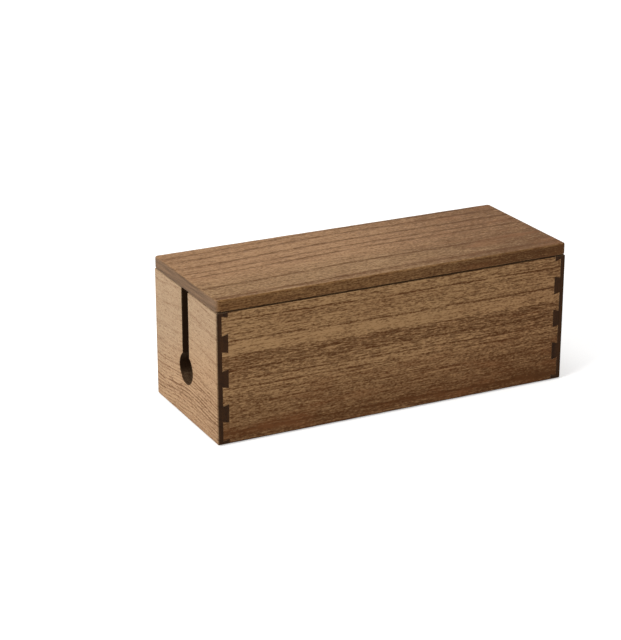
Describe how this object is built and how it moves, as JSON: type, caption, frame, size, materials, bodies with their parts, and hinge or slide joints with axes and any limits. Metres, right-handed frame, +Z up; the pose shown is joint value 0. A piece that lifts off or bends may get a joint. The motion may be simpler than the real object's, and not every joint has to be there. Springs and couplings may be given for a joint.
{
  "type": "cable management box",
  "caption": "Rectangular wooden box with dovetailed corners and a lift-off lid; it hides a power strip and its leads, which pass through a keyhole slot in each end.",
  "frame": {"origin": "on the table, under the middle of the box", "axes": "+Z up, +X along the box towards its right end as the picture shows it, -Y out of the front panel"},
  "size_m": [0.31, 0.12, 0.1183],
  "materials": {
    "wall_wood": "oiled brown hardwood, long grain level, near-black end grain at the corners and in the slots",
    "lid_wood": "oiled brown hardwood, grain along the lid, grey-brown end grain",
    "floor_wood": "plain sawn board, thinly oiled",
    "batten_wood": "planed strip, grain along the strip",
    "screw_steel": "zinc-plated wood screw, cross recess",
    "foot_rubber": "matt black soft bumper"
  },
  "bodies": {
    "box": {"front_panel": "wall_wood", "back_panel": "wall_wood", "left_end_panel": "wall_wood", "right_end_panel": "wall_wood", "base_panel": "floor_wood", "foot_front_left": "foot_rubber", "foot_front_right": "foot_rubber", "foot_back_left": "foot_rubber", "foot_back_right": "foot_rubber"},
    "lid": {"lid_board": "lid_wood", "left_batten": "batten_wood", "right_batten": "batten_wood", "batten_screws": "screw_steel"}
  },
  "joints": [
    {"name": "lid_lift", "type": "slide", "parent": "box", "child": "lid", "axis": [0, 0, 1], "range_m": [0, 0.12]}
  ]
}
